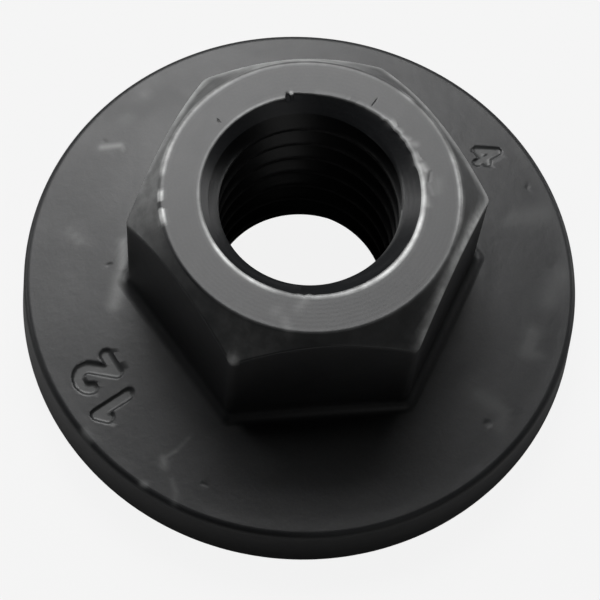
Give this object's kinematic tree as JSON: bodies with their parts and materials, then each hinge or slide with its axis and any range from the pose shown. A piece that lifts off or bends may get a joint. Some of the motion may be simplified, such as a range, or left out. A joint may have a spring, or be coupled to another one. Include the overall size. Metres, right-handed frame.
{
  "type": "serrated flange nut",
  "caption": "Hexagon nut with a wide flange in one piece, ratchet serrations under the flange and a coarse right-hand thread right through.",
  "frame": {"origin": "on the thread's axis, in the plane of the serrations' crests that the nut stands on", "axes": "+Z along the thread's axis from the flange to the hexagon's free end; +X through one corner of the hexagon, +Y through the middle of a flat"},
  "size_m": [0.033, 0.033, 0.0144],
  "materials": {
    "black_phosphate_steel": "matt black phosphate over forged steel, lightly oiled"
  },
  "bodies": {
    "root": {"flange_nut": "black_phosphate_steel"}
  },
  "joints": []
}
